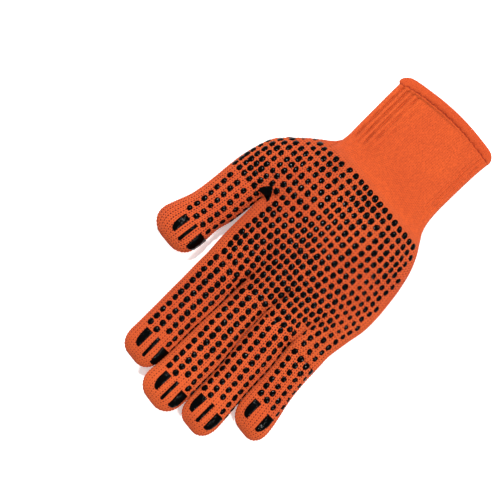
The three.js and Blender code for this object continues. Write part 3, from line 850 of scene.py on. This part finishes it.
def lining_rings(columns):
    """Inside, the lining runs from the hem down the cuff and closes in the palm's hollow."""
    rings = [cuff_ring(at, columns, -WALL) for at in np.linspace(0.985, 0, 40)]
    for y in np.linspace(PALM_LENGTH - 1, LINING_END, 26):
        ring = upper_hand_ring(y, columns)
        at = (PALM_LENGTH - y) / (PALM_LENGTH - LINING_END)
        closing = smooth((at - 0.85) / 0.15)
        middle = (ring[:, 0].min() + ring[:, 0].max()) / 2
        narrow = 1 - WALL / (ring[:, 0].max() - middle) - 0.25 * at - 0.5 * closing
        top = palm_at(y).top
        low = (top - 2 * WALL) / top * (1 - 0.4 * closing)
        x = middle + (ring[:, 0] - middle) * narrow
        z = top / 2 + (ring[:, 1] - top / 2) * low
        rings.append(np.stack([x, np.full(len(x), y), z], 1))
    return np.array(rings)


def build_cuff(cloth, wrist, v_start):
    columns = wrist.shape[1] // 2
    u = wales(columns)
    ats = np.linspace(0, 1, int(CUFF_LENGTH / 0.42))
    sinks = 0.38 * smooth((ats - 0.972) / 0.028)
    rings = np.array([cuff_ring(at, columns, sink=sink) for at, sink in zip(ats, sinks)])
    v = v_start + ats * CUFF_LENGTH / CUFF_COURSE
    cuff = cloth.add("cuff", rings, u - THUMB.wales, v, CUFF_RELIEF, wavy=0.2)
    cloth.weld(wrist[-1], cuff[0])

    rings = []
    for step in np.linspace(0, len(ROLL) - 1, 58):
        at, out = (np.interp(step, range(len(ROLL)), values) for values in zip(*ROLL))
        on_face = at < 0.3 and out > -0.9 and len(rings) < 20
        rings.append(hem_ring(at, out, columns, on_face))
    rings = np.array(rings)
    hem = cloth.add("hem", rings, u, along(rings, 90) / 1.3, 0.14, wavy=0)

    rings = lining_rings(columns)[::-1, ::-1]
    v = 1.2 * np.arange(1, len(rings) + 1)
    lining = cloth.add("lining", rings, u, v, 0.1, cap=True, wavy=0)
    cloth.weld(hem[-1], lining[-1][::-1])


def spot(rings, y, offset, ref_x):
    """The surface at y, at an arc length past the column through ref_x: place and directions."""
    ys = rings[:, 0, 1]
    r = int(np.clip(np.searchsorted(ys, y), 2, len(ys) - 3))
    n = rings.shape[1] // 2 + 1

    def at(row, extra=0.0):
        line = rings[row, :n]
        s = length_along(line[:, 0], line[:, 2])
        where = np.interp(ref_x, line[:, 0], s) + offset + extra
        p = np.array([np.interp(where, s, line[:, 0]), line[0, 1], np.interp(where, s, line[:, 2])])
        return p, min(where, s[-1] - where)

    centre, margin = at(r)
    across = at(r, 0.5)[0] - at(r, -0.5)[0]
    ahead = at(r + 2)[0] - at(r - 2)[0]
    centre[1] = y
    return centre, across, ahead, margin


def turned(x, y, angle):
    c, s = math.cos(angle), math.sin(angle)
    return np.array([x * c - y * s, x * s + y * c])


class Print(Points):
    """Raised marks of PVC in one mesh."""

    taken = []  # places of all the dots so far

    def __init__(self, slant=0.0):
        super().__init__()
        self.quads, self.triangles, self.slant = [], [], slant

    def room(self, place):
        """Distance to the nearest dot so far, and 0 where a dot doesn't fit."""
        nearest = 9.0
        if self.taken:
            nearest = np.linalg.norm(np.array(self.taken) - place, axis=1).min()
        if nearest < DOT_APART:
            return 0
        self.taken.append(place)
        return nearest

    def dome(self, centre, across, ahead, rx, ry):
        """A round dot, a little uneven, turned and leaning."""
        across = across / np.linalg.norm(across)
        up = np.cross(across, ahead)
        up /= np.linalg.norm(up)
        ahead = np.cross(up, across)
        turn = RNG.normal(self.slant, 0.12)
        a = np.linspace(0, 2 * math.pi, DOT_CORNERS, endpoint=False)
        wobble = 1 + 0.035 * np.sin(2 * a + RNG.uniform(0, 6)) + 0.03 * np.sin(3 * a + RNG.uniform(0, 6))
        square = np.abs(np.cos(a)) ** DOT_SQUARE + np.abs(np.sin(a)) ** DOT_SQUARE
        reach = square ** (-1 / DOT_SQUARE) * wobble
        px, py = turned(reach * np.cos(a) * rx, reach * np.sin(a) * ry, turn)
        lean_x, lean_y = RNG.normal(0, 0.05, 2)
        rings = []
        for size, height in DOT_RINGS:
            height = height * DOT_RISE if height > 0 else height
            tilt = height * (lean_x * px / rx + lean_y * py / ry) * size
            flat = px[:, None] * size * across + py[:, None] * size * ahead
            rings.append(centre + flat + (height + tilt)[:, None] * up)
        index = self.collect(np.array(rings))
        self.quads.append(ring_quads(index))
        top = self.collect((centre + up * DOT_RISE)[None, None])
        top = np.full(DOT_CORNERS, top[0, 0])
        self.triangles.append(np.stack([index[-1], np.roll(index[-1], -1), top], 1))

    def grid(self, points):
        """A patch of points shaped (rows, columns, 3), seen from the side that its normals face."""
        index = self.collect(points)
        quads = [index[:-1, :-1], index[:-1, 1:], index[1:, 1:], index[1:, :-1]]
        self.quads.append(np.stack(quads, 2).reshape(-1, 4))

    def make(self, name):
        points = np.concatenate(self.points)
        triangles = np.concatenate(self.triangles) if self.triangles else ()
        return mesh_object(name, points, np.concatenate(self.quads), triangles, None, PVC)


def photo_x(x):
    """A place across as measured. The camera leans, which shows the high palm further left."""
    lean = 2.2 - 1.4 * smooth((x - 2) / 34)
    return 0.965 * (x + 18.5) - SHIFT[0] + lean


def photo_y(y):
    return 0.965 * (y - 1.75) - SHIFT[1]


def row_lift(x, y):
    """How far a row of dots strays from straight where the knit is pulled out of line."""
    left = -4.0 * smooth((photo_x(-28) - x) / 34)
    dip = -2.6 * np.exp(-(((x - photo_x(-39)) / 13) ** 2)) * smooth((68 - y) / 18)
    right = 2.8 * smooth((x - photo_x(2)) / 22) * smooth((88 - y) / 25)
    thumb = 2.2 * smooth((photo_x(-60) - x) / 6) * smooth((62 - y) / 18)
    top = 2.4 * smooth((y - 55) / 38)
    return left * smooth((y + 25) / 45 + 0.35) + dip + right + thumb + top


DOT_WIDE = (0.97, 1.02, 0.98, 0.78, 0.62)  # how wide the dots of a finger's columns are

# Heights on the palm, and where the columns of dots cross them, as measured from the index side
TRACKS = {
    -45: "-47.5 -42.8 -36.8 -31 -26.5 -24 -21.5 -16.8 -11.2 -6.3 -3.4 "
    "0.5 6 12 18 22 24 25 27 33.5 39.5 43.5",
    -30: "-50.5 -46.3 -41.1 -35.9 -30.6 -26.2 -22.4 -18.5 -14.3 -9.9 -6.3 "
    "-2.4 1.9 6.2 10.5 14.3 17.3 20.7 25.7 31.9 37.4 41.5",
    -20: "-52 -48.4 -43.5 -38.5 -33.5 -28.6 -24.1 -19.9 -15.5 -11.2 -6.9 "
    "-2.6 1.6 6 10.6 15.1 19.1 23 27.3 32.5 37.4 40.7",
    10: "-52 -47.5 -42.4 -37.2 -32.3 -27.9 -23.6 -19.4 -15 -10.6 -5.9 "
    "-0.6 4.8 10 15.2 20.8 25.8 30.2 33.7 37 39.5 42",
    30: "-55.3 -50.2 -45 -39.5 -34 -28.8 -24.6 -20.3 -15.9 -11.1 -6.3 "
    "-1 4.8 10 15.1 20.4 25.3 29.3 32.1 34.3 36.5 38.5",
    50: "-55.5 -50.5 -46 -40.2 -34.7 -29.8 -25.4 -21 -16.6 -12 -7.3 "
    "-2.5 2.5 7.5 12.5 17.3 20.7 23.6 26 28 30 32",
}
TRACKS = {photo_y(height): [float(x) for x in row.split()] for height, row in TRACKS.items()}
PALM_COLUMNS = 22
MOUND_COLUMNS = 9  # the first ones, numbered below 0, run over the thumb's root
MOUND_TRACKS = {-1: (-57.5, -60.3, 52), -2: (-61.0, -64.6, 42)}  # place low, place high, bend from y
EDGE_COLUMN = 15  # the columns past it run round the edge of the hand
ENDING = (5, 16, 17)  # columns that run out in the valleys between the fingers


def column_at(j, y):
    """Where a column of dots crosses y on the palm: a place across, and an arc length past it."""
    if j < -2:
        return photo_x(-69.0), 4.75 * (j + 3)
    if j < 0:
        low, high, bend = MOUND_TRACKS[j]
        return photo_x(lerp(low, high, smooth((y - bend) / 15))), 0.0

    def track(k):
        return photo_x(np.interp(y, list(TRACKS), [row[k] for row in TRACKS.values()]))

    if j <= EDGE_COLUMN:
        return track(j), 0.0
    # Round the edge of the hand the columns keep their distance along the surface
    share = smooth((y - 14) / 30)
    return lerp(track(j), track(EDGE_COLUMN), share), 4.15 * (j - EDGE_COLUMN) * share


def build_dots():
    palm, fingers, thumb = Print(slant=0.13), Print(slant=0.1), Print(slant=-0.03)
    jitter = RNG.normal(0, 0.35, 40)
    fork = np.array([THUMB_RIGHT + 0.3, THUMB_FORK + FORK_PAD_SIZE * 0.5])

    def stamp(into, rings, y, offset, ref_x, wide, tall):
        centre, across, ahead, margin = spot(rings, y, offset, ref_x)
        if margin < DOT_MARGIN or np.hypot(*((centre[:2] - fork) / FORK_CLEAR)) < 1:
            return
        if into is palm and centre[0] > palm_at(y).right - PALM_MARGIN:
            return
        room = into.room(centre)
        if not room:
            return
        size = RNG.normal(1, 0.035)
        squeeze = min(0.9 if margin < 3 else 1.0, room / 4.5 + 0.05)
        shift = RNG.normal(0, 0.13, 2)
        centre = centre + across * shift[0] + np.array([0, shift[1], 0])
        into.dome(centre, across, ahead, DOT_RX * size * squeeze * wide, DOT_RY * size * tall)

    for r in range(1, 19):
        y_row = FIRST_ROW - SHIFT[1] - DOT_ROW * r
        for j in range(-MOUND_COLUMNS, PALM_COLUMNS):
            x, offset = column_at(j, y_row)
            y = y_row + row_lift(x + offset, y_row) + 0.8 * smooth((34 - y_row) / 20)
            if y < (7.5 if j in ENDING else 0.8) or y > PALM_LENGTH - 4:
                continue
            x, offset = column_at(j, y)
            if y >= THUMB_FORK or j >= 0:
                rings = SURFACE["upper" if y >= THUMB_FORK else "lower"]
                edge = 0.08 * smooth((j - 14) / 4) * smooth((y - 20) / 20)
                wide = 1 - 0.14 * smooth((x + offset - photo_x(0)) / 25) - edge
                tall = lerp(0.97, 1.15, smooth((y - 45) / 50)) - edge
                ref_x = x + (jitter[j + MOUND_COLUMNS] if j < 0 else 0)
                stamp(palm, rings, y, offset, ref_x, wide, tall)

    for i, finger, base, start in digits():
        name = finger.name
        into, tall = (thumb, 0.9) if i < 0 else (fingers, 0.97)
        pads_at = base - start
        columns = 4 if name == "little" else 5
        for r in range(8, 34):
            y_row = FIRST_ROW - SHIFT[1] - DOT_ROW * r
            x = (finger_edges(i, 0)[0] + finger.width / 2) if i >= 0 else photo_x(-75)
            y = y_row + row_lift(x, y_row) + finger.lift
            if i >= 0 and y < 0:
                y *= 0.965
            if y > base + (0.8 if i >= 0 else 0) or y < pads_at + 2.6:
                continue
            middle, _ = middle_and_half(digit_place(i, (base - y) / finger.length))
            for c in range(columns):
                k = c - (columns - 1) / 2
                if k == 0 and y < pads_at + 3.7:
                    continue
                offset = finger.offset + (k - 0.065 * max(k, 0) ** 2) * finger.pitch
                if i < 0:
                    offset -= 2.2 * smooth((y - 8) / 22)
                wide = lerp(1.0, DOT_WIDE[c + 5 - columns], smooth((base - y) / 12))
                stamp(into, SURFACE[name], y, offset, middle, wide, tall)
    palm.make("dots_palm")
    fingers.make("dots_fingers")
    thumb.make("dots_thumb")


def surface_at(rings, x, y):
    """Place and outward direction of the front at x and y."""
    ys = rings[:, 0, 1]
    n = rings.shape[1] // 2 + 1

    def height(px, py):
        r = np.interp(py, ys, np.arange(len(ys)))
        a = int(min(r, len(ys) - 2))
        z = [np.interp(px, rings[k, :n, 0], rings[k, :n, 2]) for k in (a, a + 1)]
        return lerp(z[0], z[1], r - a)

    slope_x = (height(x + 0.3, y) - height(x - 0.3, y)) / 0.6
    slope_y = (height(x, y + 0.5) - height(x, y - 0.5)) / 1.0
    up = np.array([-np.clip(slope_x, -2.5, 2.5), -np.clip(slope_y, -2.5, 2.5), 1.0])
    return np.array([x, y, height(x, y)]), up / np.linalg.norm(up)


def print_patch(into, rings, outline, rows, columns):
    """A raised patch. outline(a) gives its two ends across at a share a of its length."""
    grid = np.zeros((rows, columns, 3))
    a_line, b_line = ((1 - np.cos(np.linspace(0, math.pi, n))) / 2 for n in (rows, columns))
    for i, a in enumerate(a_line):
        first, second = outline(a)
        for j, b in enumerate(b_line):
            x, y = lerp(first, second, b)
            p, up = surface_at(rings, x, y)
            edge = min(min(a, 1 - a) * 5.5, min(b, 1 - b) * 3.2, 1.0)
            lump = 0.07 * math.sin(x * 2.1 + y * 1.3) + 0.06 * math.sin(y * 3.3 - x * 1.1)
            height = PAD_RISE * (0.25 + 0.75 * (1 - (1 - edge) ** 2) ** 0.5) + lump
            grid[i, j] = p + up * (height if edge > 1e-6 else PAD_SUNK)
    flip = np.cross(grid[20, 5] - grid[20, 4], grid[21, 4] - grid[20, 4])[2] < 0
    into.grid(grid[:, ::-1] if flip else grid)


# Outer edge of a tip pad: share of its length, share of its half width
PAD_BEND = [(0, 1), (0.45, 1.05), (0.6, 0.98), (0.75, 0.82), (0.86, 0.6), (0.94, 0.3), (1, -0.2)]


def pad_edges(a, side):
    """Outer and inner edge at a share of the length: a pad beside the middle, or a bar on it."""
    if not side:
        half = BAR_WIDTH / 2 * (1 - max(0, (a - 0.93) / 0.07) ** 2 * 0.6)
        return -half, half
    half = math.copysign(PAD_WIDTH / 2, side)
    return half * np.interp(a, *zip(*PAD_BEND)), -half * np.interp(a, [0, 0.96, 1], [1, 0.85, 0.7])


def build_pads():
    for i, finger, base, start in digits():
        name = finger.name
        node = name if i < 0 else name + "_finger"
        s = digit_place(i, start / finger.length)
        middle = lerp(s.left, s.right, 0.5 + finger.skew) + finger.aside
        y = base - JOIN_GAP - start
        sides = (-0.8, 0.8) if name == "little" else (-1, 0, 1)
        patch = Print()
        for side in sides:
            length, columns = (PAD_LENGTH, 18) if side else (BAR_LENGTH, 10)
            corner = np.array([middle + side * PAD_SPACING, y + (length - PAD_LENGTH) / 2])

            def outline(a):
                return [corner + turned(x, -a * length, finger.slant) for x in pad_edges(a, side)]

            print_patch(patch, SURFACE[name], outline, 44, columns)
        made = patch.make("pads_" + name)
        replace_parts(made, *[f"{node}_pad_{k + 1}" for k in range(len(sides))])

    centre = np.array([THUMB_RIGHT + CLEARANCE / 2 + 0.7, THUMB_FORK + FORK_PAD_SIZE * 0.4])
    size = FORK_PAD_SIZE * 0.58

    def fork(a):
        left = lerp(-size * 0.92, size * 0.9, a)
        top = size * (1.0 - (abs(a - 0.47) / 0.53) ** 1.6 * 1.25)
        low = -size * (0.62 - 0.3 * math.sin(math.pi * a))
        return [centre + np.array([left, max(top, low + 0.6)]), centre + np.array([left, low])]

    patch = Print()
    print_patch(patch, SURFACE["upper"], fork, 40, 18)
    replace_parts(patch.make("pad_thumb_fork"), "thumb_fork_pad")


def build_stage():
    size, under = 1.6, -0.0002
    floor = bpy.data.meshes.new("floor")
    corners = [(-size, -size, under), (size, -size, under), (size, size, under), (-size, size, under)]
    floor.from_pydata(corners, [], [(0, 1, 2, 3)])
    made = add_object("floor", floor)
    sh = Shader("floor_paper")
    grain = sh.ramp(sh.noise(60.0, 3.0), 0.3, 0.7)
    sh.surface("Base Color", sh.mix(grain, (0.95, 0.95, 0.95, 1), (0.97, 0.97, 0.97, 1)))
    sh.surface("Roughness", 0.9)
    sh.surface("Specular IOR Level", 0.1)
    sh.surface("Emission Color", (1, 1, 1, 1))
    sh.surface("Emission Strength", 0.35)
    floor.materials.append(sh.material)


def add_light(name, place, power):
    light = bpy.data.lights.new(name, "AREA")
    light.shape, light.size, light.energy = "DISK", 0.11, power
    made = add_object(name, light)
    made.location = place
    made.rotation_euler = (-made.location).to_track_quat("-Z", "Y").to_euler()


def build_studio():
    scene = bpy.context.scene
    scene.world = bpy.data.worlds.new("studio")
    scene.world.use_nodes = True
    sky = scene.world.node_tree.nodes["Background"]
    sky.inputs["Color"].default_value = (1, 1, 1, 1)
    sky.inputs["Strength"].default_value = 0.5
    add_light("key", (-0.38, 0.24, 0.95), 10.2)
    add_light("fill", (0.55, -0.1, 0.9), 6.1)
    add_light("back", (0.1, 0.9, 0.6), 2.8)
    scene.view_settings.view_transform = "Standard"
    scene.view_settings.look = "None"

    camera = bpy.data.cameras.new("photo_view")
    camera.lens, camera.sensor_width, camera.clip_start = 85.0, 36.0, 0.01
    made = add_object("photo_view", camera)
    azimuth, elevation, distance = math.radians(51.35), math.radians(82), 0.7007
    flat = math.cos(elevation)
    away = Vector((math.sin(azimuth) * flat, -math.cos(azimuth) * flat, math.sin(elevation)))
    made.location = Vector((-19.1, -24.3, 8.0)) * MM + away * distance
    made.rotation_euler = (-away).to_track_quat("-Z", "Y").to_euler()
    scene.camera = made


cloth = Cloth()
build_cuff(cloth, *build_hand(cloth))
cloth.finish()
cloth.piece("hand", "knit_hand", HAND, "hand_knit", "palm", "thumb")
cloth.piece("knuckles", "knit_knuckles", HAND, "hand_knit", "palm")
cloth.piece("fingers", "knit_fingers", HAND, "hand_knit", *[f.name + "_finger" for f in FINGERS])
cloth.piece("cuff", "knit_cuff", CUFF, "cuff_knit", "cuff")
cloth.piece("hem", "knit_hem", HEM, "hem_knit", "cuff_hem")
cloth.piece("lining", "knit_lining", CUFF, "cuff_knit", "cuff", "palm")
build_dots()
build_pads()
build_stage()
build_studio()
